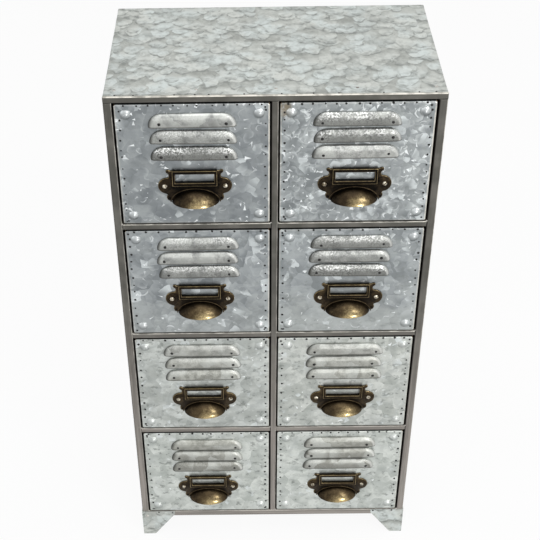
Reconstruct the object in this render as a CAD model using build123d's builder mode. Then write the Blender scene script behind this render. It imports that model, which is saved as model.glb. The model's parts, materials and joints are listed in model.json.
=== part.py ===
"""Galvanised eight-drawer cabinet with a welded steel front frame, louvred drawer
fronts and card-frame cup pulls.

The model stands on z = 0 and its front looks along -Y.  Its origin is the bottom
centre of the whole object, pulls included.  All sizes are in millimetres.
"""

from build123d import *
import math
import os

# ---- Whole cabinet ----
width = 370
depth = 216
height = 716
column_names = ["left", "right"]
rows = 4
foot_height = 37.5

# ---- Steel front frame ----
side_bar_width = 9
bottom_bar_width = 10
top_bar_width = 7.5
stile_width = 7.5
rail_width = 7.5
bar_depth = 3
bar_ease = 0.8

# ---- Board carcass and its galvanised casing ----
casing_sheet_thickness = 0.8
casing_bend = 1.5
board_relief = 0.2
divider_relief = 0.5
back_panel_thickness = 4

# ---- Sheet feet over solid blocks ----
foot_sheet = 0.8
foot_span = 46.5
foot_tip = 17
foot_shoulder = 6
foot_block_relief = 0.2

# ---- Drawer fronts ----
outer_gap = 2.2
inner_gap = 1.7
top_gap = 1.6
bottom_gap = 2
face_proud = 0.3
face_sheet = 0.7
face_fold = 8
face_edge_ease = 0.4
front_board_thickness = 10

# ---- Drawer boxes ----
box_side_inset = 5
box_lift = 0.5
box_headroom = 28.5
box_side_thickness = 6
box_back_thickness = 6
box_bottom_thickness = 3
box_bottom_height = 5
groove_depth = 3
rear_gap = 6

# ---- Pressed corner domes of a drawer face ----
dome_radius = 5.4
dome_rise = 3
dome_inset = 12
dome_sides = 10
dome_bands = 2

# ---- Louvre hoods, three to a drawer ----
hood_count = 3
hood_length = 96.5
hood_height = 16
hood_corner = 15.5
hood_bulge = 4.5
hood_sheet = 0.8
hood_pitch = 20.7
hood_top_margin = 12.7
hood_chords = 4
hood_bands = 3
hood_hollow_bands = 2
hood_lean = 5

# ---- Card-frame cup pull ----
pull_gap = 12.2
pull_height = 43
plate_thickness = 1.8
plate_half_width = 29
plate_foot = 2
plate_shoulder = 40.7
ear_radius = 10.6
ear_offset = 31.1
ear_height = 21.5
lug_reach = 32.5
lug_width = 8
lug_height = 7.4
lug_foot = 1
horn_reach = 32.3
horn_foot = 37.2
horn_root = 2
cup_half_width = 27
cup_reach = 17
cup_height = 15.6
cup_wall = 1.6
cup_chords = 14
cup_bands = 6
hollow_chords = 10
hollow_bands = 4
card_frame_length = 50.5
card_frame_height = 20.5
card_frame_rise = 3
card_window_length = 44
card_window_height = 11.5
card_pocket_margin = 1.8
card_pocket_depth = 1
screw_spacing = 68
screw_hole_radius = 1.9

# ---- Positions that follow ----
front = (face_proud + cup_reach - depth - foot_sheet) / 2
back = front + depth
floor_top = foot_height + bottom_bar_width
ceiling = height - top_bar_width
columns = len(column_names)
opening_width = (width - 2 * side_bar_width - (columns - 1) * stile_width) / columns
opening_height = (ceiling - floor_top - (rows - 1) * rail_width) / rows
column_pitch = opening_width + stile_width
row_pitch = opening_height + rail_width
column_centres = [
    (column - (columns - 1) / 2) * column_pitch for column in range(columns)
]
row_bottoms = [floor_top + row * row_pitch for row in range(rows)]
boards_front = front + bar_depth
boards_back = back - back_panel_thickness
casing_half = width / 2 - casing_sheet_thickness
boards_top = height - casing_sheet_thickness
board_thickness = side_bar_width - casing_sheet_thickness - board_relief
top_board_thickness = top_bar_width - casing_sheet_thickness - board_relief
partition_thickness = stile_width - 2 * divider_relief
shelf_thickness = rail_width - 2 * divider_relief
foot_block_size = foot_tip - foot_sheet - foot_block_relief
face_front = front - face_proud

os.makedirs("parts", exist_ok=True)


def save(piece, name):
    """Label a finished piece and write it under its node's name."""
    piece.label = name
    export_step(piece, f"parts/{name}.step")


def block(x_span, y_span, z_span):
    """A square-cut board between the given limits."""
    with BuildPart() as board:
        with BuildSketch(Plane.XY.offset(z_span[0])):
            with Locations((sum(x_span) / 2, sum(y_span) / 2)):
                Rectangle(x_span[1] - x_span[0], y_span[1] - y_span[0])
        extrude(amount=z_span[1] - z_span[0])
    return board.part


def frame_bar(x_span, z_span):
    """A flat bar of the front frame, its four front edges eased."""
    with BuildPart() as bar:
        with BuildSketch(Plane.XZ.offset(-boards_front)):
            with Locations((sum(x_span) / 2, sum(z_span) / 2)):
                Rectangle(x_span[1] - x_span[0], z_span[1] - z_span[0])
        extrude(amount=bar_depth)
        chamfer(bar.faces().sort_by(Axis.Y)[0].edges(), length=bar_ease)
    return bar.part


# ---- Front frame ----
inner_half = width / 2 - side_bar_width
save(frame_bar((-width / 2, width / 2), (ceiling, height)), "frame_top_bar")
save(frame_bar((-width / 2, width / 2), (foot_height, floor_top)), "frame_bottom_bar")
save(frame_bar((-width / 2, -inner_half), (floor_top, ceiling)), "frame_left_bar")
save(frame_bar((inner_half, width / 2), (floor_top, ceiling)), "frame_right_bar")
stiles = [
    frame_bar((x + opening_width / 2, x + opening_width / 2 + stile_width), (floor_top, ceiling))
    for x in column_centres[:-1]
]
save(Compound(children=stiles), "frame_centre_bar")
rails = [
    frame_bar((x - opening_width / 2, x + opening_width / 2), (z - rail_width, z))
    for z in row_bottoms[1:]
    for x in column_centres
]
save(Compound(children=rails), "frame_rails")

# ---- Casing: one sheet folded over the top and down both sides ----
with BuildPart() as casing:
    with BuildSketch(Plane.XZ.offset(-back)) as casing_section:
        with Locations((0, (height + foot_height) / 2)):
            Rectangle(width, height - foot_height)
        fillet(casing_section.vertices().group_by(Axis.Y)[-1], radius=casing_bend)
        with Locations((0, (boards_top + foot_height) / 2)):
            Rectangle(2 * casing_half, boards_top - foot_height, mode=Mode.SUBTRACT)
    extrude(amount=back - boards_front)
save(casing.part, "casing_sheet")

# ---- Boards ----
side_inner = casing_half - board_thickness
board_run = (boards_front, boards_back)
save(block((-casing_half, -side_inner), board_run, (foot_height, boards_top)), "left_board")
save(block((side_inner, casing_half), board_run, (foot_height, boards_top)), "right_board")
save(block((-side_inner, side_inner), board_run, (foot_height, floor_top)), "bottom_board")
top_board_span = (boards_top - top_board_thickness, boards_top)
save(block((-side_inner, side_inner), board_run, top_board_span), "top_board")
divider_middles = [x + column_pitch / 2 for x in column_centres[:-1]]
divider_spans = [
    (x - partition_thickness / 2, x + partition_thickness / 2) for x in divider_middles
]
partitions = [block(span, board_run, (floor_top, top_board_span[0])) for span in divider_spans]
save(Compound(children=partitions), "centre_board")
bay_lows = [-side_inner] + [high for low, high in divider_spans]
bay_highs = [low for low, high in divider_spans] + [side_inner]
shelves = [
    block(bay, board_run, (z - shelf_thickness, z))
    for z in row_bottoms[1:]
    for bay in zip(bay_lows, bay_highs)
]
save(Compound(children=shelves), "shelves")
save(block((-casing_half, casing_half), (boards_back, back), (foot_height, boards_top)), "back_panel")


# ---- Feet ----
def sheet_foot(side, end):
    """A corner bracket: side is -1 left or 1 right, end is -1 front or 1 back."""
    x_corner = side * (width / 2 + foot_sheet)
    y_corner = front - foot_sheet if end < 0 else back + foot_sheet
    flange = [
        (0, 0),
        (foot_tip, 0),
        (foot_span, floor_top - foot_shoulder),
        (foot_span, floor_top),
        (0, floor_top),
    ]
    with BuildPart() as bracket:
        with BuildSketch(Plane.XZ.offset(-y_corner)):
            with BuildLine():
                Polyline([(x_corner - side * across, up) for across, up in flange], close=True)
            make_face()
        extrude(amount=end * foot_sheet)
        with BuildSketch(Plane.YZ.offset(x_corner)):
            with BuildLine():
                Polyline([(y_corner - end * across, up) for across, up in flange], close=True)
            make_face()
        extrude(amount=-side * foot_sheet)
    return bracket.part


def foot_block(side, end):
    """The solid leg that fills the corner of a sheet foot."""
    x_span = sorted((side * width / 2, side * (width / 2 - foot_block_size)))
    y_edge = front if end < 0 else back
    y_span = sorted((y_edge, y_edge - end * foot_block_size))
    return block(x_span, y_span, (0, foot_height))


sides = {"left": -1, "right": 1}
ends = {"front": -1, "back": 1}
for end_name, end in ends.items():
    for side_name, side in sides.items():
        save(sheet_foot(side, end), f"foot_{end_name}_{side_name}")
foot_blocks = [foot_block(side, end) for end in ends.values() for side in sides.values()]
save(Compound(children=foot_blocks), "foot_blocks")

# ---- One drawer, about x = 0 with its opening's lower edge at z = 0 ----
face_width = opening_width - outer_gap - inner_gap
face_span = (bottom_gap, opening_height - top_gap)
face_height = face_span[1] - face_span[0]
face_middle = sum(face_span) / 2
board_front = face_front + face_sheet
board_back = board_front + front_board_thickness
box_half = opening_width / 2 - box_side_inset
box_inner = box_half - box_side_thickness
box_rear = back - back_panel_thickness - rear_gap
box_span = (box_lift, opening_height - box_headroom)


# A quarter turn in equal steps is used by every rounded form below.
def quarter_turns(steps):
    """Angles from 0 to a right angle."""
    return [math.pi / 2 * step / steps for step in range(steps + 1)]


# ---- Corner dome, pressed out of the face sheet, about its own centre ----
dome_points = [
    (
        dome_radius * math.cos(lift) * math.cos(2 * math.pi * side / dome_sides),
        face_front - dome_rise * math.sin(lift),
        dome_radius * math.cos(lift) * math.sin(2 * math.pi * side / dome_sides),
    )
    for lift in quarter_turns(dome_bands)
    for side in range(dome_sides)
]
with BuildPart() as dome:
    ConvexPolyhedron(dome_points)

with BuildPart() as face:
    with BuildSketch(Plane.XZ.offset(-(face_front + face_fold))):
        with Locations((0, face_middle)):
            Rectangle(face_width, face_height)
    extrude(amount=face_fold)
    chamfer(face.faces().sort_by(Axis.Y)[0].edges(), length=face_edge_ease)
    with BuildSketch(Plane.XZ.offset(-(face_front + face_fold))):
        with Locations((0, face_middle)):
            Rectangle(face_width - 2 * face_sheet, face_height - 2 * face_sheet)
    extrude(amount=face_fold - face_sheet, mode=Mode.SUBTRACT)
    dome_across = face_width / 2 - dome_inset
    dome_levels = (face_span[0] + dome_inset, face_span[1] - dome_inset)
    with Locations(*[(side * dome_across, 0, z) for side in (-1, 1) for z in dome_levels]):
        add(dome.part)

groove_floor = box_lift + box_bottom_height
box_bottom = block(
    (-box_inner - groove_depth, box_inner + groove_depth),
    (board_back - groove_depth, box_rear - box_back_thickness + groove_depth),
    (groove_floor, groove_floor + box_bottom_thickness),
)


def grooved(x_span, y_span, z_span):
    """A board of the drawer box, grooved for the bottom."""
    with BuildPart() as board:
        add(block(x_span, y_span, z_span))
        add(box_bottom, mode=Mode.SUBTRACT)
    return board.part


front_board = grooved(
    (-face_width / 2 + face_sheet, face_width / 2 - face_sheet),
    (board_front, board_back),
    (face_span[0] + face_sheet, face_span[1] - face_sheet),
)
box_left = grooved((-box_half, -box_inner), (board_back, box_rear), box_span)
box_right = grooved((box_inner, box_half), (board_back, box_rear), box_span)
box_back = grooved((-box_inner, box_inner), (box_rear - box_back_thickness, box_rear), box_span)

# ---- Louvre hood: a stamped shell, open below, about its lower edge's middle ----
def hood_form(inset, bands):
    """The hood's outer form, or the hollow behind it when set in by the sheet."""
    points = []
    for roll in quarter_turns(bands):
        bulge = (hood_bulge - inset) * math.sin(roll)
        lean = inset + hood_lean * (1 - math.cos(roll))
        corner = hood_corner - lean
        for turn in quarter_turns(hood_chords):
            across = hood_length / 2 - lean - corner * (1 - math.cos(turn))
            up = hood_height - lean - corner * (1 - math.sin(turn))
            points += [(across, -bulge, up), (-across, -bulge, up)]
        foot = hood_length / 2 - lean
        points += [(foot, -bulge, 0), (-foot, -bulge, 0)]
    with BuildPart() as form:
        ConvexPolyhedron(points)
    return form.part


with BuildPart() as hood:
    add(hood_form(0, hood_bands))
    add(hood_form(hood_sheet, hood_hollow_bands), mode=Mode.SUBTRACT)


# ---- Cup pull, about the middle of the cup's lower rim, its back at y = 0 ----
def cup_form(inset, chords, bands):
    """A quarter-round dome against y = 0, open downwards, in flat facets."""
    points = [(0, 0, cup_height - inset)]
    for lift in quarter_turns(bands)[:-1]:
        for chord in range(chords + 1):
            turn = math.pi * chord / chords
            across = (cup_half_width - inset) * math.cos(lift) * math.cos(turn)
            reach = (cup_reach - inset) * math.cos(lift) * math.sin(turn)
            points.append((across, -reach, (cup_height - inset) * math.sin(lift)))
    with BuildPart() as form:
        ConvexPolyhedron(points)
    return form.part


card_middle = (0, pull_height - card_frame_height / 2)
with BuildPart() as pull:
    with BuildSketch(Plane.XZ):
        with Locations((0, (plate_shoulder + plate_foot) / 2)):
            Rectangle(2 * plate_half_width, plate_shoulder - plate_foot)
        with Locations((-ear_offset, ear_height), (ear_offset, ear_height)):
            Circle(ear_radius)
        with Locations(card_middle):
            Rectangle(card_frame_length, card_frame_height)
        for side in sides.values():
            with Locations((side * (lug_reach - lug_width / 2), lug_foot + lug_height / 2)):
                Rectangle(lug_width, lug_height)
            with BuildLine():
                Polyline(
                    (side * (plate_half_width - horn_root), horn_foot),
                    (side * plate_half_width, horn_foot),
                    (side * horn_reach, plate_shoulder),
                    (side * plate_half_width, pull_height),
                    (side * (plate_half_width - horn_root), plate_shoulder),
                    close=True,
                )
            make_face()
    extrude(amount=plate_thickness)
    with BuildSketch(Plane.XZ):
        with Locations(card_middle):
            Rectangle(card_frame_length, card_frame_height)
    extrude(amount=plate_thickness + card_frame_rise)
    add(cup_form(0, cup_chords, cup_bands))
    add(cup_form(cup_wall, hollow_chords, hollow_bands), mode=Mode.SUBTRACT)
    with BuildSketch(Plane.XZ):
        with Locations(card_middle):
            Rectangle(card_window_length, card_window_height)
        with Locations((-screw_spacing / 2, ear_height), (screw_spacing / 2, ear_height)):
            Circle(screw_hole_radius)
    extrude(amount=plate_thickness + card_frame_rise, mode=Mode.SUBTRACT)
    with BuildSketch(Plane.XZ):
        with Locations(card_middle):
            Rectangle(
                card_window_length + 2 * card_pocket_margin,
                card_window_height + 2 * card_pocket_margin,
            )
    extrude(amount=card_pocket_depth, mode=Mode.SUBTRACT)

# ---- The drawers, each in its own opening, a little nearer the centre bar ----
hood_bottoms = [
    opening_height - hood_top_margin - hood_height - step * hood_pitch
    for step in range(hood_count)
]
pull_bottom = hood_bottoms[-1] - pull_gap - pull_height
for column, opening_centre in zip(column_names, column_centres):
    x = opening_centre - math.copysign((outer_gap - inner_gap) / 2, opening_centre)
    for row, z in enumerate(reversed(row_bottoms), start=1):
        opening = Location((x, 0, z))
        name = f"drawer_{column}_{row}"
        save(front_board.moved(opening), f"{name}_front_board")
        box_parts = [box_left, box_right, box_back, box_bottom]
        save(Compound(children=[board.moved(opening) for board in box_parts]), f"{name}_box")
        save(face.part.moved(opening), f"{name}_face")
        hoods = [hood.part.moved(Location((x, face_front, z + bottom))) for bottom in hood_bottoms]
        save(Compound(children=hoods), f"{name}_hoods")
        pull_seat = Location((x, face_front, z + pull_bottom))
        save(pull.part.moved(pull_seat), f"{name}_pull")
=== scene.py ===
import json
import math
import random
from functools import partialmethod
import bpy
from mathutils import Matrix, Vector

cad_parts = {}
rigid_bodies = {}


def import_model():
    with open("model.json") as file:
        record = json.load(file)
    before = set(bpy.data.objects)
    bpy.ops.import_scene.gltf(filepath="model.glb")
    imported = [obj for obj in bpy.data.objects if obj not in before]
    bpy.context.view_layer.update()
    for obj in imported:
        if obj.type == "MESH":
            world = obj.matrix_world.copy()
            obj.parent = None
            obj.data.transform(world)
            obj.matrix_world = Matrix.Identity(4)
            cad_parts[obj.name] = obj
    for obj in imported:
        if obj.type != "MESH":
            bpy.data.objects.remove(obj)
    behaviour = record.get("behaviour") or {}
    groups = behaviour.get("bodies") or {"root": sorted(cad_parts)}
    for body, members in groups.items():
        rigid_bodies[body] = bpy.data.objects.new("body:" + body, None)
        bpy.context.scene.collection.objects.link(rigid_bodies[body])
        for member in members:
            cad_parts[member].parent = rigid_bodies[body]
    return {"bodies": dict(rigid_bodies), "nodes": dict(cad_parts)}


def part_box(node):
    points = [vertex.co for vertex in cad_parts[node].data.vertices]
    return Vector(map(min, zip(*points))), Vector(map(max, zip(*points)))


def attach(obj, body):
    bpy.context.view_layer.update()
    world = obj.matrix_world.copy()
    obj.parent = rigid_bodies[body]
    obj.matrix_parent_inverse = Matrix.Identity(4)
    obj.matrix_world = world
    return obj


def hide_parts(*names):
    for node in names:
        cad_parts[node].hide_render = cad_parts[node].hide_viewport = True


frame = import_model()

from types import SimpleNamespace

import bmesh
import bpy
from mathutils import Euler, Matrix, Vector, noise

# Lengths are in millimetres unless a comment says otherwise.
MM = 0.001
QUARTER = math.pi / 2
FRONT, BACK, LEFT, UP = (0, -1, 0), (0, 1, 0), (-1, 0, 0), (0, 0, 1)
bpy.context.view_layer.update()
nodes = frame["nodes"]


def corners(node):
    """Lowest and highest corner of a CAD node."""
    low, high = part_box(node)
    return low / MM, high / MM


def placed(name, data):
    """A new object in the scene."""
    made = bpy.data.objects.new(name, data)
    bpy.context.scene.collection.objects.link(made)
    return made


# ------------------------------------------------------------------ camera, in metres
camera_data = bpy.data.cameras.new("camera")
camera_data.sensor_width, camera_data.lens = 36.0, 77.54
camera_data.shift_x, camera_data.shift_y = 0.0551, 0.0238
camera_data.clip_start, camera_data.clip_end = 0.05, 50.0
camera = placed("camera", camera_data)
camera.location = (-0.03139, -1.19258, 1.33213)
camera.rotation_euler = Euler((0.8980, 0.0130, -0.0019), "XYZ")
bpy.context.scene.camera = camera
bpy.context.scene.view_settings.view_transform = "Standard"


# ------------------------------------------------------------------ materials
# Positions are in metres here, but sizes and reaches are in millimetres. A colour is a
# socket, or red, green and blue display values from 0 to 255.
def rgb(values):
    """A colour given in display values, as the shaders take it."""
    def linear(value):
        share = value / 255
        return share / 12.92 if share <= 0.04045 else ((share + 0.055) / 1.055) ** 2.4
    return (*map(linear, values), 1.0)


class Graph:
    """A node tree. Most methods add nodes and return an output socket."""

    def __init__(self, tree):
        self.tree = tree

    def feed(self, node, inputs):
        """Links a socket, or sets a plain value, to each named input of a node."""
        for key, value in inputs.items():
            if isinstance(value, bpy.types.NodeSocket):
                self.tree.links.new(value, node.inputs[key])
            else:
                node.inputs[key].default_value = value
        return node

    def make(self, kind, inputs=None, **settings):
        node = self.tree.nodes.new("ShaderNode" + kind)
        for key, value in settings.items():
            setattr(node, key, value)
        return self.feed(node, inputs or {})

    def calc(self, operation, first, *others):
        """One maths operation, taken from left to right over all the values."""
        for other in others or (0.0,):
            inputs = {0: first, 1: other}
            first = self.make("Math", inputs, operation=operation).outputs[0]
        return first

    times = partialmethod(calc, "MULTIPLY")
    plus = partialmethod(calc, "ADD")
    less = partialmethod(calc, "SUBTRACT")
    most = partialmethod(calc, "MAXIMUM")
    over = partialmethod(calc, "GREATER_THAN")

    def span(self, value, low, high, to_low=0.0, to_high=1.0):
        """value between low and high, eased, as a number between to_low and to_high."""
        inputs = {"Value": value, "From Min": low, "From Max": high,
                  "To Min": to_low, "To Max": to_high}
        return self.make("MapRange", inputs, interpolation_type="SMOOTHSTEP").outputs[0]


class Paint(Graph):
    """One node material, and the colour that its coats have built up so far."""

    def __init__(self, name):
        self.material = bpy.data.materials.new(name)
        self.material.use_nodes = True
        super().__init__(self.material.node_tree)
        self.shader = self.tree.nodes["Principled BSDF"]
        self.place = self.make("TexCoord").outputs["Object"]
        self.colour = None

    def split(self, vector=None):
        """The outputs X, Y and Z of a vector, which is the position if none is given."""
        return self.make("SeparateXYZ", {0: vector or self.place}).outputs

    def plane(self, across, up):
        """Flat coordinates from two sockets."""
        return self.make("CombineXYZ", {"X": across, "Y": up}).outputs[0]

    def vector(self, operation, inputs, output=0):
        return self.make("VectorMath", inputs, operation=operation).outputs[output]

    def scaled(self, vector, scale):
        return self.vector("SCALE", {0: vector, "Scale": scale})

    def stretch(self, vector=None, scale=(1, 1, 1), shift=(0, 0, 0)):
        inputs = {"Vector": vector or self.place, "Scale": scale, "Location": shift}
        return self.make("Mapping", inputs).outputs[0]

    def noise(self, size, vector=None, detail=3.0, rough=0.55, twist=0.0, output=0):
        inputs = {"Vector": vector or self.place, "Scale": 1 / (size * MM), "Detail": detail,
                  "Roughness": rough, "Distortion": twist}
        return self.make("TexNoise", inputs).outputs[output]

    def warp(self, size, reach, vector=None):
        """Coordinates pushed about by up to reach, in swirls of the given size."""
        vector = vector or self.place
        swirl = self.noise(size, vector, 2.0, 0.5, output=1)
        push = self.vector("SUBTRACT", {0: swirl, 1: (0.5, 0.5, 0.5)})
        return self.vector("ADD", {0: vector, 1: self.scaled(push, reach * MM * 2)})

    def cells(self, size, seed, vector, feature="F1"):
        """The outputs of a flat cell pattern, and the coordinates that it was made from."""
        moved = self.stretch(vector, shift=(seed * 0.37, seed * 0.21, 0))
        inputs = {"Vector": moved, "Scale": 1 / (size * MM)}
        made = self.make("TexVoronoi", inputs, voronoi_dimensions="2D", feature=feature)
        return made.outputs, moved

    def crystals(self, size, seed, vector):
        """Flat cells, each spun its own way: a point's place along and across its cell, its
        height above the middle (lean) and distance from it (rim), and two random numbers."""
        cells, moved = self.cells(size, seed, vector)
        away = self.vector("SUBTRACT", {0: moved, 1: cells["Position"]})
        away = self.scaled(away, 1 / (size * MM))
        picks = self.split(cells["Color"])
        inputs = {"Vector": away, "Angle": self.times(picks["X"], math.tau)}
        spun = self.split(self.make("VectorRotate", inputs, rotation_type="Z_AXIS").outputs[0])
        return SimpleNamespace(along=spun["X"], across=spun["Y"], lean=self.split(away)["Y"],
                               rim=cells["Distance"], chance=picks["Y"], shade=picks["Z"])

    def picked(self, cell, share):
        """1 in a share of the cells."""
        return self.over(cell.chance, 1 - share)

    def varied(self, cell, spread, least):
        """A strength from least to 1 for each picked cell."""
        part = self.calc("FRACT", self.times(cell.chance, spread))
        return self.span(part, 0.0, 1.0, least, 1.0)

    def facets(self, size, seed, vector):
        """Crystal facets: each cell has its own shade and grows lighter towards one side."""
        cell = self.crystals(size, seed, vector)
        return self.plus(self.times(cell.shade, 0.62), self.times(cell.along, 0.55), 0.19)

    def shards(self, size, seed, vector, share, length, width):
        """Bright splinters, pointed at one end, in loose flocks over a share of the cells."""
        cell = self.crystals(size, seed, vector)
        place = self.calc("DIVIDE", self.plus(cell.along, length / 2), length)
        wide = self.times(self.span(cell.shade, 0.0, 1.0, width * 0.35, width),
                          self.less(1.0, self.times(place, 0.85)))
        side = self.less(wide, self.calc("ABSOLUTE", cell.across))
        flock = self.noise(26, self.stretch(vector, shift=(seed, 0, 0)), 1.0)
        flock = self.times(self.span(flock, 0.3, 0.7, 0.35, 1.65), share)
        chosen = self.over(cell.chance, self.less(1.0, flock))
        return self.times(self.span(side, 0.0, 0.035), self.over(place, 0.0), chosen,
                          self.varied(cell, 37.0, 0.3))

    def outlines(self, size, seed, vector, reach):
        """Thin bright edges between cells, in loose clusters."""
        cells, moved = self.cells(size, seed, vector, "DISTANCE_TO_EDGE")
        cluster = self.span(self.noise(size * 3.2, moved, 2.0), 1 - reach, 1.06 - reach)
        broken = self.span(self.noise(size * 0.7, moved, 2.0), 0.42, 0.55)
        return self.times(self.span(cells["Distance"], 0.08, 0.03), cluster, broken)

    def crescents(self, size, seed, vector, share, radius, thick):
        """Curved bright slivers, widest in the middle, each turned its own way."""
        cell = self.crystals(size, seed, vector)
        wide = self.times(self.span(cell.along, -radius * 0.1, radius * 0.95),
                          self.span(cell.shade, 0.0, 1.0, thick * 0.5, thick))
        side = self.less(wide, self.calc("ABSOLUTE", self.less(cell.rim, radius)))
        return self.times(self.span(side, 0.0, 0.03), self.picked(cell, share),
                          self.varied(cell, 53.0, 0.35))

    def shells(self, size, seed, vector, share, radius=0.5):
        """Shell shaped patches, crisp and bright round one side and fading to the other."""
        cell = self.crystals(size, seed, vector)
        return self.times(
            self.span(cell.rim, radius, radius * 0.95),
            self.span(cell.along, -radius * 0.3, radius * 0.9),
            self.span(cell.rim, radius * 0.35, radius * 0.9, 0.35, 1.0),
            self.picked(cell, share), self.span(cell.shade, 0.0, 1.0, 0.4, 1.0))

    def plates(self, size, seed, vector, share):
        """Whole crystals that catch the light, crisp all round and brighter to one side."""
        cell = self.crystals(size, seed, vector)
        return self.times(self.picked(cell, share), self.span(cell.along, -0.4, 0.4, 0.1, 1.0),
                          self.span(cell.shade, 0.0, 1.0, 0.35, 1.0))

    def scallops(self, size, seed, vector, radius=0.42):
        """Overlapping scales: masks of their bodies and of the dark creases in front of them,
        and how pale each one is."""
        cell = self.crystals(size, seed, vector)
        lean, rim = cell.lean, cell.rim
        body = self.times(self.span(rim, radius, radius * 0.86),
                          self.span(lean, radius, -radius * 0.1))
        sunk = self.plus(lean, radius * 0.32)
        aside = self.most(self.less(self.times(rim, rim), self.times(lean, lean)), 0.0)
        apart = self.calc("SQRT", self.plus(aside, self.times(sunk, sunk)))
        crease = self.times(self.span(apart, radius * 1.12, radius * 0.8),
                            self.span(lean, radius * 0.2, -radius * 0.6))
        return body, crease, self.span(cell.shade, 0.0, 1.0, 0.35, 1.0)

    def mix(self, factor, first, second):
        """One colour turning into another."""
        inputs = {0: factor, 6: first, 7: second}
        for key in (6, 7):
            if isinstance(inputs[key], tuple):
                inputs[key] = rgb(inputs[key])
        return self.make("Mix", inputs, data_type="RGBA").outputs[2]

    def coat(self, mask, colour, share=1.0):
        """Lays a colour over the colour so far, by a share of the mask."""
        if share != 1.0:
            mask = self.times(mask, share)
        self.colour = self.mix(mask, self.colour, colour)

    def blend(self, factor, first, second):
        """One number turning into another."""
        inputs = {0: factor, 2: first, 3: second}
        return self.make("Mix", inputs, data_type="FLOAT").outputs[0]

    def attribute(self, name):
        return self.make("Attribute", attribute_name=name).outputs["Fac"]

    def facing(self, axis):
        """How far the surface looks along an axis."""
        return self.split(self.make("NewGeometry").outputs["Normal"])[axis]

    def bump(self, height, strength, depth, **normal):
        inputs = {"Height": height, "Strength": strength, "Distance": depth * MM, **normal}
        return self.make("Bump", inputs).outputs[0]

    def finish(self, roughness, metallic=0.0, **normal):
        self.feed(self.shader, {"Base Color": self.colour, "Roughness": roughness,
                                "Metallic": metallic, **normal})
        return self.material


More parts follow.
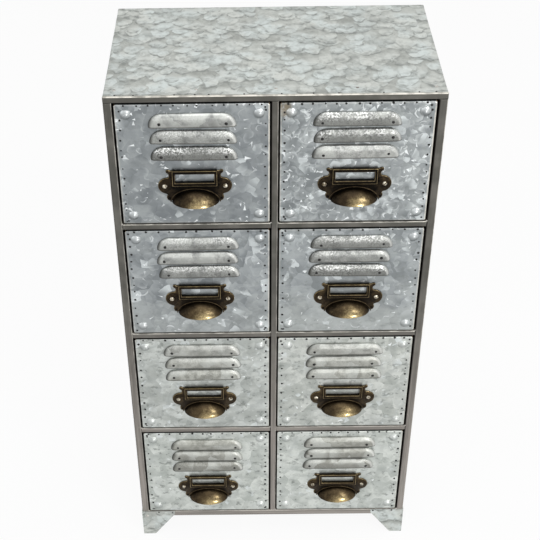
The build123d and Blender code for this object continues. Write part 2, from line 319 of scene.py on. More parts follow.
def drawer_zinc(name, low, high, shells, glints, clouds, creases, seed, pale=0.0, grow=1.0):
    """A galvanised front. low and high are its darker and lighter crystals; shells, glints,
    clouds and creases say how strongly those marks show, the shells and glints being painted
    highlights; pale lightens its lower half, a painted reflection; grow is the size of its marks."""
    paint = Paint("drawer_zinc_" + name)
    x, z = paint.split()["X"], paint.split()["Z"]
    sheet = paint.plane(x, z)
    soft = paint.warp(8, 2.4, sheet)
    tone = paint.blend(0.25 + 0.25 * shells, paint.facets(19, seed, soft),
                       paint.facets(8, seed + 3, paint.warp(5, 1.4, sheet)))
    paint.colour = paint.mix(paint.span(tone, 0.15, 0.85), low, high)
    # A painted reflection: the lower half of the front turns paler.
    if pale:
        level = paint.plus(z, paint.span(paint.noise(40, sheet), 0.3, 0.7, -0.025, 0.025))
        paint.coat(paint.span(level, 0.462, 0.400, 0.0, pale), (186, 190, 187))
    cloud = paint.span(paint.noise(13, paint.warp(12, 6, sheet), 6.0, 0.62), 0.42, 0.66)
    paint.coat(cloud, (128, 134, 132), clouds)
    glow = paint.span(paint.noise(24, paint.stretch(sheet, shift=(seed, 0, 0))), 0.45, 0.65)
    paint.coat(glow, (196, 201, 200), 0.2)
    # Painted highlights on shell shaped crystals, whole bright crystals, crescents and broken
    # edges.
    shell = paint.most(
        paint.shells(14 * grow, seed + 5, soft, shells * 0.7),
        paint.shells(9 * grow, seed + 7, soft, shells * 0.5),
        paint.times(paint.shells(23 * grow, seed + 9, soft, shells * 0.5, 0.45), 0.7))
    paint.coat(shell, (222, 227, 228), 0.2 + 0.3 * shells)
    plate = paint.most(
        paint.plates(10 * grow, seed + 25, soft, 0.01 + shells * 0.26),
        paint.plates(6 * grow, seed + 27, paint.warp(4, 1.0, sheet), 0.02 + shells * 0.17))
    paint.coat(plate, (220, 226, 227), 0.68)
    arc = paint.most(
        paint.crescents(13 * grow, seed + 19, soft, 0.03 + shells * 0.24, 0.34, 0.075),
        paint.crescents(19 * grow, seed + 21, soft, shells * 0.22, 0.36, 0.05),
        paint.crescents(8 * grow, seed + 23, soft, shells * 0.10, 0.3, 0.12))
    paint.coat(arc, (236, 240, 241), 0.35 + 0.4 * shells)
    edges = paint.outlines(9, seed + 17, paint.warp(6, 1.2, sheet), 0.26 + 0.12 * glints)
    paint.coat(edges, (216, 221, 222), 0.2 + 0.2 * glints)
    # Painted glints: splinters, large and small.
    glint = paint.most(
        paint.shards(10, seed + 11, sheet, glints * 0.20, 0.5, 0.18),
        paint.shards(6.5, seed + 13, sheet, glints * 0.07, 0.5, 0.26),
        paint.shards(17, seed + 15, sheet, glints * 0.25, 0.42, 0.16))
    paint.coat(glint, (242, 246, 247), 0.92)
    # Dark creases and specks.
    run = paint.stretch(paint.warp(7, 4, sheet), (0.65, 1, 1))
    paint.coat(paint.span(paint.noise(7.5, run, 5.0, 0.62), 0.555, 0.64), (112, 117, 113), creases)
    paint.coat(paint.span(paint.noise(2.0, sheet, 2.0), 0.66, 0.74), (100, 104, 102), 0.35)
    # Bends are painted bright, partly scraped wear and partly a painted highlight that is
    # strongest on the right-hand bends; the folded sides, inside the gaps, get painted shade.
    wear, mood = paint.attribute("wear"), paint.attribute("mood")
    fold = paint.times(paint.most(wear, 0.0), paint.span(paint.noise(9), 0.3, 0.5, 0.5, 1.0))
    paint.coat(fold, (222, 219, 208), 0.85)
    paint.coat(paint.span(wear, -0.1, -0.8, 0.0, 0.85), (48, 48, 46))
    if name == "right_1":
        # A brown stain in the upper left corner.
        face_low, face_high = corners("drawer_right_1_face")
        spot = Vector((face_low.x + 7, face_low.y, face_high.z - 8)) * MM
        apart = paint.vector("DISTANCE", {0: paint.place, 1: spot}, "Value")
        ragged = paint.plus(apart, paint.times(paint.noise(5), 0.02))
        stain = paint.times(paint.span(ragged, 0.024, 0.013, 0.0, 0.7),
                            paint.span(x, (face_low.x + 15) * MM, (face_low.x + 8) * MM))
        paint.coat(stain, (120, 103, 72))
    # The raised domes get a painted highlight above and painted shade below, strongest on the
    # upper rows.
    dome = paint.span(mood, 0.2, 1.0)
    shine = paint.mix(paint.span(mood, 1.4, 2.8), (122, 126, 126), (228, 232, 232))
    brightening = {"1": 0.55, "2": 0.45}.get(name[-1], 0.28)
    paint.coat(dome, shine, brightening)
    bright = paint.most(glint, arc, paint.times(shell, 0.6), paint.times(dome, brightening * 1.6))
    roughness = paint.blend(bright, paint.span(tone, 0.0, 1.0, 0.5, 0.38), 0.32)
    plain = paint.less(1.0, dome)
    relief = paint.bump(paint.times(tone, plain), 0.2, 0.4)
    grain = paint.times(paint.noise(1.3, detail=2.0), plain)
    return paint.finish(roughness, 0.85, Normal=paint.bump(grain, 0.1, 0.12, Normal=relief))


def spangled_casing(name, upright):
    """The casing and the feet: pale scales of zinc that overlap, creased in front."""
    paint = Paint(name)
    x, y, z = (paint.split()[axis] for axis in "XYZ")
    sheet = paint.plane(paint.plus(x, y), z) if upright else paint.plane(paint.plus(x, z), y)
    soft = paint.warp(6, 2.0, paint.warp(15, 5.0, paint.warp(40, 7.0, sheet)))
    feather = paint.noise(8, paint.warp(9, 4, sheet), 5.0, 0.6)
    base = paint.times(paint.plus(paint.noise(70, sheet, 2.0), feather), 0.5)
    paint.colour = paint.mix(paint.span(base, 0.36, 0.64), (152, 155, 150), (184, 187, 182))
    tint = paint.span(paint.noise(38, sheet, 2.0), 0.38, 0.62)
    tint = paint.mix(tint, (205, 212, 210), (203, 206, 201))
    height = feather
    for size, seed in ((42, 1.0), (33, 3.0), (25, 5.0), (19, 7.0)):
        body, crease, pale = paint.scallops(size, seed, soft)
        paint.coat(paint.times(crease, paint.span(feather, 0.35, 0.6, 1.0, 0.4)), (134, 138, 134))
        paint.coat(paint.times(body, pale, paint.span(feather, 0.3, 0.62, 0.55, 1.0)), tint)
        height = paint.plus(paint.times(height, 0.7), body)
    shell = paint.most(paint.crescents(17, 8.0, soft, 0.35, 0.34, 0.05),
                       paint.crescents(11, 9.0, soft, 0.2, 0.32, 0.07))
    paint.coat(shell, (226, 231, 228), 0.4)
    blot = paint.span(paint.noise(5, paint.warp(6, 4, sheet), 3.0, 0.6), 0.66, 0.74)
    paint.coat(blot, (118, 121, 117), 0.5)
    if not upright:
        # A broken groove and a dull rim along the front edge.
        front = corners("casing_sheet")[0].y * MM
        behind = paint.plus(y, -front, paint.times(paint.noise(12), 0.0008))
        groove = paint.times(
            paint.span(behind, 0.0044, 0.0032),
            paint.span(behind, 0.0022, 0.0028),
            paint.span(paint.noise(22), 0.4, 0.6))
        paint.coat(groove, (104, 106, 102), 0.7)
        rim = paint.times(paint.span(behind, 0.0020, 0.0010),
                          paint.span(x, -0.12, 0.19, 0.8, 0.35))
        paint.coat(rim, (126, 125, 118))
    roughness = paint.span(feather, 0.3, 0.7, 0.58, 0.48)
    return paint.finish(roughness, 0.5, Normal=paint.bump(height, 0.08, 0.3))


def aged_zinc():
    """The louvre hoods: worn zinc, from smooth to heavily speckled, with painted light that makes
    them brighter above.
    """
    paint = Paint("hood_zinc")
    x, z = paint.split()["X"], paint.split()["Z"]
    # share is how high a point is on its hood, mood how speckled the hood is.
    share, mood = paint.attribute("wear"), paint.attribute("mood")
    yellow = paint.span(z, 0.42, 0.30)
    cool = paint.span(paint.noise(16, paint.warp(14, 8), 4.0), 0.4, 0.62)
    cool = paint.mix(cool, (144, 146, 144), (192, 194, 190))
    warm = paint.span(paint.noise(9, paint.warp(10, 6), 5.0), 0.38, 0.64)
    warm = paint.mix(warm, (154, 155, 147), (188, 189, 181))
    paint.colour = paint.mix(yellow, cool, warm)
    paint.coat(paint.span(z, 0.22, 0.14, 0.0, 0.75), (138, 138, 131))
    patch = paint.facets(24, 2.0, paint.warp(9, 4, paint.plane(x, z)))
    paint.coat(paint.span(patch, 0.45, 0.75, 0.0, 0.6), (206, 209, 204))
    # How grainy each patch is, then dark grains, and bright grains on the upper part, a
    # painted highlight.
    grainy = paint.span(paint.noise(24, paint.stretch(shift=(0.5, 0, 0)), 2.0), 0.38, 0.62)
    grainy = paint.times(paint.span(grainy, 0.0, 1.0, 0.45, 1.0), mood)
    paint.coat(paint.span(mood, 0.35, 1.0, 0.0, 0.8), (116, 118, 115))
    dark = paint.span(paint.noise(1.8, paint.warp(3, 1.2), 3.0, 0.7), 0.47, 0.60)
    paint.coat(paint.times(dark, paint.span(share, 1.0, 0.35, 0.25, 0.85), grainy), (66, 65, 62))
    bright = paint.noise(1.9, paint.stretch(shift=(0.3, 0.1, 0.2)), 3.0, 0.65)
    bright = paint.times(
        paint.span(bright, 0.46, 0.58), paint.span(share, 0.33, 0.72),
        paint.span(share, 1.02, 0.96), grainy,
        paint.span(yellow, 0.0, 1.0, 1.0, 0.5))
    paint.coat(bright, (250, 251, 249))
    # A gentle fall of light from the crest to the foot, painted shade on the left ends and a
    # painted highlight on the right ends.
    fall = paint.times(paint.span(share, 0.95, 0.15, 0.0, 0.42),
                       paint.span(yellow, 0.0, 1.0, 1.0, 0.6))
    paint.coat(fall, (112, 113, 110))
    paint.coat(paint.span(paint.facing("X"), -0.15, -0.75), (66, 66, 62), 0.75)
    paint.coat(paint.span(paint.facing("X"), 0.1, 0.6), (232, 233, 229), 0.6)
    # A pale crest, partly wear and partly a painted highlight, a dark seam where the hood
    # leaves the front, and a darker band along the foot.
    lit_and_worn = paint.span(paint.noise(10, detail=4.0), 0.45, 0.62)
    paint.coat(paint.times(paint.span(share, 0.55, 0.8), lit_and_worn), (214, 216, 211), 0.35)
    paint.coat(paint.span(share, -0.2, -0.7, 0.0, 0.9), (64, 63, 59))
    foot = paint.times(paint.span(share, 0.13, 0.03), paint.span(share, -0.1, 0.0))
    paint.coat(foot, (74, 73, 69), 0.7)
    normal = paint.bump(paint.noise(1.2), 0.3, 0.2)
    return paint.finish(paint.blend(bright, 0.47, 0.3), 0.85, Normal=normal)


def bar_steel(name, along):
    """Frame bars: brushed along their length, darker above and paler below as a painted
    reflection, with a painted highlight in worn patches on the edges that face up on level bars
    and right on uprights, and painted shade on the opposite edges."""
    paint = Paint(name)
    # Darker higher up and paler lower down: a painted reflection.
    level = paint.span(paint.split()["Z"], 0.12, 0.50)
    paint.colour = paint.mix(level, (157, 151, 145), (89, 88, 83))
    draw = [0.03 if axis == along else 1.0 for axis in "XYZ"]
    wide = paint.noise(4.5, paint.stretch(None, draw))
    thin = paint.noise(1.6, paint.stretch(None, draw, (0.2, 0.3, 0.4)), 3.0, 0.6)
    streak = paint.span(paint.plus(paint.times(wide, 0.6), paint.times(thin, 0.4)), 0.38, 0.62)
    paint.coat(streak, (80, 78, 73), 0.45)
    paint.coat(paint.span(paint.noise(34, detail=4.0), 0.4, 0.7), (146, 143, 137), 0.28)
    scuff = paint.noise(3.0, paint.stretch(None, draw, (0.7, 0.1, 0.2)), 5.0, 0.7)
    paint.coat(paint.span(scuff, 0.62, 0.72), (172, 170, 164), 0.4)
    # Painted highlight on the upper edges of level bars and the right edges of uprights; painted
    # shade on the edges opposite.
    edge = paint.facing("Z" if along == "X" else "X")
    lit_and_worn = paint.times(paint.span(edge, 0.25, 0.6), paint.span(level, 0.0, 1.0, 0.55, 1.0),
                       paint.span(paint.noise(14), 0.35, 0.6, 0.3, 0.85))
    paint.coat(lit_and_worn, (222, 219, 209))
    paint.coat(paint.span(edge, -0.25, -0.6, 0.0, 0.7), (52, 50, 47))
    roughness = paint.span(streak, 0.0, 1.0, 0.42, 0.56)
    return paint.finish(roughness, 0.8, Normal=paint.bump(paint.plus(wide, thin), 0.12, 0.2))


def antique_brass():
    """Blackened bronze, rubbed back to brass on the edges and on the bowl of the cup."""
    paint = Paint("antique_brass")
    wear = paint.attribute("wear")
    cloud = paint.span(paint.noise(8, paint.warp(6, 3), 4.0), 0.35, 0.7, -0.06, 0.07)
    grain = paint.noise(1.8)
    row = paint.span(paint.split()["Z"], 0.53, 0.36)
    dark = paint.mix(row, (12, 10, 8), (32, 26, 19))
    brown = paint.mix(row, (58, 48, 35), (76, 64, 46))
    gold = paint.mix(paint.span(grain, 0.35, 0.7), (202, 182, 137), (166, 147, 106))
    brightening = paint.plus(wear, cloud, paint.span(grain, 0.3, 0.7, 0.04, -0.04))
    brightening = paint.times(brightening, paint.span(wear, 0.0, 0.08))
    paint.colour = paint.mix(paint.span(brightening, 0.02, 0.34), dark, brown)
    paint.coat(paint.span(brightening, 0.26, 0.95), gold)
    normal = paint.bump(paint.noise(3.0, detail=2.0), 0.03, 0.15)
    return paint.finish(paint.span(brightening, 0.1, 0.8, 0.40, 0.23), 0.95, Normal=normal)


def worn_metal(name, patches, low, high, roughness, metallic, grain):
    """Metal of two tones. patches are their size and detail, and where one tone turns into
    the other; grain is a size, a strength and a depth."""
    paint = Paint(name)
    size, detail, start, stop = patches
    paint.colour = paint.mix(paint.span(paint.noise(size, detail=detail), start, stop), low, high)
    normal = paint.bump(paint.noise(grain[0]), *grain[1:])
    return paint.finish(roughness, metallic, Normal=normal)


def wood(name, along, light, dark, ring=9):
    """Planed board: fine grain and slow bands that run along one axis, x, y or z."""
    paint = Paint(name)
    run = paint.stretch(paint.warp(60, 5), [0.055 if axis == along else 1.0 for axis in "xyz"])
    fibre = paint.noise(1.6, run, 4.0, 0.65)
    band = paint.noise(ring, run, 3.0, 0.5, 0.8)
    paint.colour = paint.mix(paint.span(band, 0.35, 0.65), light, dark)
    paint.coat(paint.span(fibre, 0.45, 0.75, 0.0, 0.5), dark)
    paint.coat(paint.span(paint.noise(45, detail=4.0), 0.5, 0.75), (74, 58, 44), 0.3)
    roughness = paint.span(fibre, 0.3, 0.7, 0.55, 0.75)
    return paint.finish(roughness, Normal=paint.bump(fibre, 0.3, 0.25))


# One zinc for each front: darker crystal, lighter crystal, then how strong the shells,
# glints, clouds and creases are, a seed, how pale the lower half turns, how large marks are.
# The darker, bluer tones of the upper rows and the paler ones below are painted reflection.
front_zincs = {values[0]: drawer_zinc(*values) for values in (
    ("left_1", (120, 125, 128), (145, 150, 152), 0.22, 0.9, 0.12, 0.10, 1.3),
    ("right_1", (123, 128, 130), (151, 156, 157), 0.8, 1.5, 0.08, 0.25, 2.9, 0.0, 1.15),
    ("left_2", (122, 127, 130), (158, 163, 165), 0.38, 0.35, 0.15, 0.20, 4.1, 0.3, 1.6),
    ("right_2", (130, 135, 137), (160, 165, 167), 0.20, 0.40, 0.20, 0.30, 5.7, 0.5),
    ("left_3", (168, 172, 168), (199, 203, 199), 0.18, 0.30, 0.34, 0.55, 6.2),
    ("right_3", (174, 178, 173), (206, 209, 204), 0.12, 0.18, 0.30, 0.55, 7.8),
    ("left_4", (180, 185, 180), (210, 214, 209), 0.06, 0.08, 0.28, 0.60, 8.4),
    ("right_4", (181, 186, 181), (210, 214, 209), 0.06, 0.08, 0.28, 0.60, 9.6))}
casing_zinc = spangled_casing("galvanised_casing", False)
foot_zinc = spangled_casing("galvanised_feet", True)
hood_zinc = aged_zinc()
level_steel = bar_steel("frame_steel_level", "X")
upright_steel = bar_steel("frame_steel_upright", "Z")
brass = antique_brass()
# Blackened cut edges, clean weld beads, plated screw heads and blackened nail heads.
sheet_edge = worn_metal("sheet_edge", (6, 4.0, 0.5, 0.7), (50, 49, 46), (104, 103, 98),
                        0.5, 0.7, (1.5, 0.3, 0.2))
weld_steel = worn_metal("weld_steel", (2.5, 4.0, 0.45, 0.65), (190, 188, 182), (108, 104, 98),
                        0.34, 0.9, (1.0, 0.4, 0.2))
screw_head = worn_metal("screw_metal", (2.2, 4.0, 0.4, 0.6), (98, 86, 66), (226, 220, 204),
                        0.3, 0.95, (1.2, 0.25, 0.2))
nail_black = worn_metal("nail_black", (1.4, 3.0, 0.6, 0.8), (20, 19, 18), (70, 68, 65),
                        0.55, 0.3, (0.8, 0.3, 0.15))
stained = {axis: wood("carcass_wood_" + axis, axis, (58, 44, 32), (32, 24, 18)) for axis in "xyz"}
pine = wood("drawer_wood", "y", (196, 164, 120), (160, 122, 80))
pine_across = wood("drawer_wood_front", "x", (190, 158, 114), (154, 116, 76))
ply = wood("back_ply", "z", (172, 138, 98), (134, 100, 66), 16)


# ------------------------------------------------------------------ mesh helpers
def even(start, stop, count):
    """Values from start to stop in so many equal steps, both ends included."""
    return [start + (stop - start) * step / count for step in range(count + 1)]


def spaced(low, high, edge, fine, coarse):
    """Grid lines from low to high, fine within edge of both ends and coarse between."""
    def run(start, stop, step):
        return even(start, stop, max(1, round((stop - start) / step)))[:-1]
    middle = run(low + edge, high - edge, coarse)
    return run(low, low + edge, fine) + middle + run(high - edge, high, fine) + [high]


class Shape:
    """Points and faces of one piece, gathered part by part. wear and mood are two
    numbers at each point, for its material; the first carries wear and painted light."""

    def __init__(self):
        self.points, self.faces, self.wear, self.mood = [], [], [], []

    def add(self, points, faces, place=None, wear=None, mood=None):
        start = len(self.points)
        self.points += [place @ Vector(point) if place else Vector(point) for point in points]
        self.faces += [[start + index for index in face] for face in faces]
        self.wear += wear or [0.0] * len(points)
        self.mood += mood or [0.0] * len(points)

    def loft(self, rows, closed=False, place=None, wear=None, mood=0.0, cap=False):
        """Quads between rows of points, which are rings if closed, and an end face if cap.
        wear is asked for each point with its row, its column and the point itself."""
        count = len(rows[0])
        faces = []
        for base in range(0, (len(rows) - 1) * count, count):
            for column in range(count if closed else count - 1):
                after = (column + 1) % count
                faces.append([base + column, base + after,
                              base + count + after, base + count + column])
        if cap:
            faces.append([(len(rows) - 1) * count + index for index in range(count)])
        points = [point for row in rows for point in row]
        lit_and_worn = wear and [wear(*divmod(index, count), point) for index, point in enumerate(points)]
        self.add(points, faces, place, lit_and_worn, [mood] * len(points))

    def build(self, name, body, slot, materials, replaces=(), recalc=True, angle=None):
        mesh = bpy.data.meshes.new(name)
        mesh.from_pydata([point * MM for point in self.points], [], self.faces)
        for material in materials:
            mesh.materials.append(material)
        for key, values in (("wear", self.wear), ("mood", self.mood)):
            mesh.attributes.new(key, "FLOAT", "POINT").data.foreach_set("value", values)
        if recalc:
            work = bmesh.new()
            work.from_mesh(mesh)
            bmesh.ops.recalc_face_normals(work, faces=work.faces)
            work.to_mesh(mesh)
            work.free()
        mesh.polygons.foreach_set("use_smooth", [True] * len(mesh.polygons))
        if angle:
            mesh.set_sharp_from_angle(angle=math.radians(angle))
        made = placed(name, mesh)
        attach(made, body)
        if replaces:
            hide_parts(*replaces)
        return made


def thicken(made, depth):
    """Gives a sheet its thickness, behind the modelled surface, with dark cut edges."""
    solid = made.modifiers.new("thickness", "SOLIDIFY")
    solid.thickness, solid.offset = depth * MM, -1.0
    solid.material_offset_rim = 1
    solid.use_even_offset = True


def join(made, reach):
    """Merges points that lie within reach of each other."""
    made.modifiers.new("join", "WELD").merge_threshold = reach * MM


def facing(x, y, z, normal, spin=0.0):
    """A placement at (x, y, z) whose local z looks along normal."""
    turn = Vector(normal).to_track_quat("Z", "Y").to_matrix().to_4x4()
    return Matrix.Translation((x, y, z)) @ turn @ Matrix.Rotation(spin, 4, "Z")


def ripple(x, y, z, size, seed=0.0):
    """Smooth noise from -1 to 1 at a point."""
    return noise.noise(Vector((x, y, z)) / size + Vector((seed, 3.7 * seed, 1.3)))


def nail(shape, place, radius, rise, sides=10):
    """A low domed nail head on local z = 0, a little out of round."""
    at = place.translation
    spokes = []
    for turn in even(0, math.tau, sides)[:-1]:
        x, y = math.cos(turn), math.sin(turn)
        reach = radius * (1 + 0.22 * ripple(at.x + 2 * x, at.y + 2 * y, at.z, 2.3))
        spokes.append((reach * x, reach * y))
    profile = [(1.0, -0.3), (1.0, 0.0), (0.93, 0.45), (0.65, 0.83), (0.3, 0.98)]
    rings = [[(x * share, y * share, rise * up) for x, y in spokes] for share, up in profile]
    shape.loft(rings, closed=True, place=place, cap=True)


# ------------------------------------------------------------------ drawers
FACE_SHEET = 0.6
FACE_BEND = 1.2
# Grid lines: how wide the fine edge is, the fine and the coarse step; then past the bends.
FACE_GRID = (19, 0.9, 3.2)
FOLD_LINES = (3.2, 6.6)
FACE_BUCKLE, FACE_BUCKLE_SIZE, FACE_MARGIN = 0.28, 34, 14
DOME_INSET = 12.0
DOME_RADIUS = 6.0
DOME_RISE = 3.0
HOOD_LENGTH = 96.5
HOOD_HEIGHT = 16.0
HOOD_CORNER = 15.5
HOOD_BULGE = 4.5
HOOD_LEAN = 5.0
HOOD_SHEET = 0.8
HOOD_CROWN = 0.5
CUP_HALF = 27.0
CUP_REACH = 17.0
CUP_HEIGHT = 15.6
CUP_WALL = 1.5
PLATE = 1.8
FRAME_LEVEL = 32.75
SCREW_REACH = 34.0
SCREW_LEVEL = 21.5
# How speckled the three hoods of each front are, from the upper to the lower, and how far
# its hoods and its pull sit above their even places.
BY_HAND = {
    "left_1": ((0.2, 0.6, 1.0), 0.5, -1.6), "right_1": ((0.85, 0.88, 0.4), 0.3, -1.3),
    "left_2": ((0.55, 0.2, 0.7), 2.2, 1.6), "right_2": ((0.8, 0.6, 0.9), 2.5, 1.5),
    "left_3": ((0.3, 0.35, 0.3), 2.2, -0.2), "right_3": ((0.3, 0.25, 0.35), 2.0, -0.2),
    "left_4": ((0.2, 0.3, 0.25), -1.4, -2.2), "right_4": ((0.25, 0.2, 0.25), 1.4, -0.2)}


def face_sheet(name, zinc, x_span, z_span, front, seed):
    """A drawer's front sheet: four pressed domes, a slight buckle and folded sides."""
    # How bright the bends are painted on each row: wear and a painted highlight.
    bend_shine = {"1": 1.0, "2": 0.7}.get(name[-1], 0.4)
    middle_x, middle_z = sum(x_span) / 2, sum(z_span) / 2
    half_x, half_z = (x_span[1] - x_span[0]) / 2, (z_span[1] - z_span[0]) / 2
    arc = FACE_BEND * QUARTER

    def fold(position, half):
        """How far across and back a point goes that lies so far along the flat sheet."""
        flat = half - FACE_BEND
        past = max(0.0, abs(position) - flat)
        turn = min(past / FACE_BEND, QUARTER)
        across = min(abs(position), flat) + FACE_BEND * math.sin(turn)
        back = FACE_BEND * (1 - math.cos(turn)) + max(0.0, past - arc)
        return math.copysign(across, position), back

    def lines(half):
        flat = half - FACE_BEND
        outer = even(flat, flat + arc, 4)[1:] + [flat + arc + reach for reach in FOLD_LINES]
        return [-value for value in reversed(outer)] + spaced(-flat, flat, *FACE_GRID) + outer

    across, up = lines(half_x), lines(half_z)
    points, lit_and_worn, domed = [], [], []
    for level in up:
        z, back_z = fold(level, half_z)
        for position in across:
            x, back_x = fold(position, half_x)
            off_x = x - math.copysign(half_x - DOME_INSET, x)
            off_z = z - math.copysign(half_z - DOME_INSET, z)
            apart = math.hypot(off_x, off_z) / DOME_RADIUS
            rise = DOME_RISE * max(0.0, 1 - apart ** 2) ** 0.8
            # mood on a dome: 2 and up, rising towards its upper right, for its painted highlight
            # and shade.
            domed.append(2 + 0.9 * (off_z + 0.4 * off_x) / DOME_RADIUS if apart < 1 else 0.0)
            flatness = min(FACE_MARGIN, half_x - abs(x), half_z - abs(z)) / FACE_MARGIN
            buckle = FACE_BUCKLE * (1 + ripple(x, 0, z, FACE_BUCKLE_SIZE, seed)) * flatness
            points.append((middle_x + x, front + back_x + back_z - rise - buckle, middle_z + z))
            # Wear and painted light: the folded sides (painted shade), the upright bends (painted
            # highlight, strongest on the right), the level bends and the rest.
            past_x, past_z = (abs(value) - half + FACE_BEND
                              for value, half in ((position, half_x), (level, half_z)))
            if max(past_x, past_z) > FACE_BEND:
                lit_and_worn.append(-1.0)
            elif past_x > -0.3:
                lit_and_worn.append(bend_shine * (1.0 if position > 0 else 0.45))
            else:
                lit_and_worn.append(0.15 * bend_shine if past_z > -0.1 else 0.0)
    # The grid's faces without its corners, where the folded sides meet.
    columns, edge = len(across), 4 + len(FOLD_LINES)
    faces = []
    for row in range(len(up) - 1):
        for column in range(columns - 1):
            if edge <= row < len(up) - 1 - edge or edge <= column < columns - 1 - edge:
                base = row * columns + column
                faces.append([base, base + 1, base + columns + 1, base + columns])
    used = sorted({index for face in faces for index in face})
    renamed = {old: new for new, old in enumerate(used)}
    points, lit_and_worn, domed = ([values[index] for index in used] for values in (points, lit_and_worn, domed))
    shape = Shape()
    shape.add(points, [[renamed[index] for index in face] for face in faces],
              wear=lit_and_worn, mood=domed)
    made = shape.build(name + "_face_sheet", name, "drawer_zinc", [zinc, sheet_edge],
                       replaces=[name + "_face"], recalc=False)
    thicken(made, FACE_SHEET)


def hood_shell(shape, place, grain):
    """One louvre hood about its lower edge's middle, an open sheet to be thickened."""
    rolls, corner_steps, columns = 7, 9, 14
    rows = []
    for roll in even(0, QUARTER, rolls):
        y, lean = -HOOD_BULGE * math.sin(roll), HOOD_LEAN * (1 - math.cos(roll))
        corner, foot = HOOD_CORNER - lean, HOOD_LENGTH / 2 - lean
        leg = [(foot, y, 0.0)]
        for turn in even(0, QUARTER, corner_steps):
            leg.append((foot - corner * (1 - math.cos(turn)), y,
                        HOOD_HEIGHT - lean - corner * (1 - math.sin(turn))))
        top_x, _, top_z = leg[-1]
        bridge = [(x, y, top_z) for x in even(top_x, -top_x, columns)[1:-1]]
        rows.append(leg + bridge + [(-x, y, z) for x, y, z in reversed(leg)])
    shape.loft(rows, place=place, mood=grain,
               wear=lambda row, column, point: point[2] / HOOD_HEIGHT if row else -1.0)
    # The gently crowned front: level lines between the last row's two legs.
    front = []
    for leg_x, y, z in leg:
        front.append([])
        for column, x in enumerate(even(-leg_x, leg_x, columns)):
            bow = HOOD_CROWN * (1 - (x / (HOOD_LENGTH / 2)) ** 2) * (1 - (z / HOOD_HEIGHT) ** 2)
            front[-1].append((x, y if column in (0, columns) or z == top_z else y - bow, z))
    shape.loft(front, place=place, mood=grain,
               wear=lambda row, column, point: point[2] / HOOD_HEIGHT)


def hoods(name, centre, front, bottoms, grains, rise, chance):
    """A drawer's three hoods, set one by one, and two pins in each."""
    shape, pins = Shape(), Shape()
    for bottom, grain in zip(bottoms, grains):
        shift, tilt = chance.uniform(-1.0, 1.0), math.radians(chance.uniform(-0.7, 0.7))
        level = bottom + rise + chance.uniform(-0.2, 0.2)
        place = Matrix.Translation((centre + shift, front, level)) @ Matrix.Rotation(tilt, 4, "Y")
        hood_shell(shape, place, grain)
        for side in (-1, 1):
            reach = side * (HOOD_LENGTH / 2 - chance.uniform(9, 13))
            at = place @ Vector((reach, -HOOD_BULGE - 0.1, chance.uniform(4.0, 5.4)))
            nail(pins, facing(*at, FRONT), chance.uniform(1.6, 2.0), 0.7)
    made = shape.build(name + "_hood_shells", name, "hood_zinc", [hood_zinc, sheet_edge],
                       replaces=[name + "_hoods"], recalc=False)
    join(made, 0.05)
    thicken(made, HOOD_SHEET)
    pins.build(name + "_hood_pins", name, "frame_steel", [nail_black])


def neighbours(points):
    """Each point of a closed outline with the ones before and after it."""
    return zip(points[-1:] + points[:-1], points, points[1:] + points[:1])


def smoothed(points, rounds=2):
    """A closed outline with its corners cut twice, for soft cast curves."""
    for _ in range(rounds):
        cut = []
        for _, (x, z), (next_x, next_z) in neighbours(points):
            for share in (0.25, 0.75):
                cut.append((x * (1 - share) + next_x * share, z * (1 - share) + next_z * share))
        points = cut
    return points


def inset(points, amount):
    """A closed outline moved inwards by a small amount."""
    area = sum(x * next_z - next_x * z for _, (x, z), (next_x, next_z) in neighbours(points))
    moved = []
    for before, (x, z), after in neighbours(points):
        along = (Vector(after) - Vector(before)).normalized() * math.copysign(amount, area)
        moved.append((x - along.y, z + along.x))
    return moved


def plate_outline():
    """The pull's back plate: scrolled top corners, round screw ears and lower lugs."""
    ear, radius = (31.1, SCREW_LEVEL), 10.6
    half = [(25.0, 42.1), (27.3, 41.3), (29.0, 42.9), (31.4, 42.7), (32.6, 40.3), (31.0, 38.3),
            (29.4, 37.3), (29.0, 34.6), (30.0, 32.4)]
    for turn in map(math.radians, range(88, -88, -13)):
        half.append((ear[0] + radius * math.cos(turn), ear[1] + radius * math.sin(turn)))
    half += [(31.0, 9.4), (32.2, 7.8), (32.5, 5.0), (31.2, 2.2), (28.8, 1.3), (26.4, 2.2),
             (22.0, 2.4)]
    return smoothed(half + [(-x, z) for x, z in reversed(half)])


def ring_fill(outer, hole):
    """Triangles between an outline and a hole inside it."""
    work = bmesh.new()
    edges = []
    for loop in (outer, hole):
        verts = [work.verts.new(point) for point in loop]
        edges += [work.edges.new(pair) for pair in zip(verts, verts[1:] + verts[:1])]
    bmesh.ops.triangle_fill(work, use_beauty=True, edges=edges)
    work.verts.index_update()
    points = [tuple(vert.co) for vert in work.verts]
    faces = [[vert.index for vert in face.verts] for face in work.faces]
    work.free()
    return points, faces


def box_ring(half_x, half_z, y, corner):
    """A rectangle with small round corners about the card frame's middle, as a ring."""
    ring = []
    for sign_x, sign_z, start in ((1, 1, 0), (-1, 1, 90), (-1, -1, 180), (1, -1, 270)):
        for turn in map(math.radians, range(start, start + 91, 30)):
            ring.append((sign_x * (half_x - corner) + corner * math.cos(turn), y,
                         FRAME_LEVEL + sign_z * (half_z - corner) + corner * math.sin(turn)))
    return ring


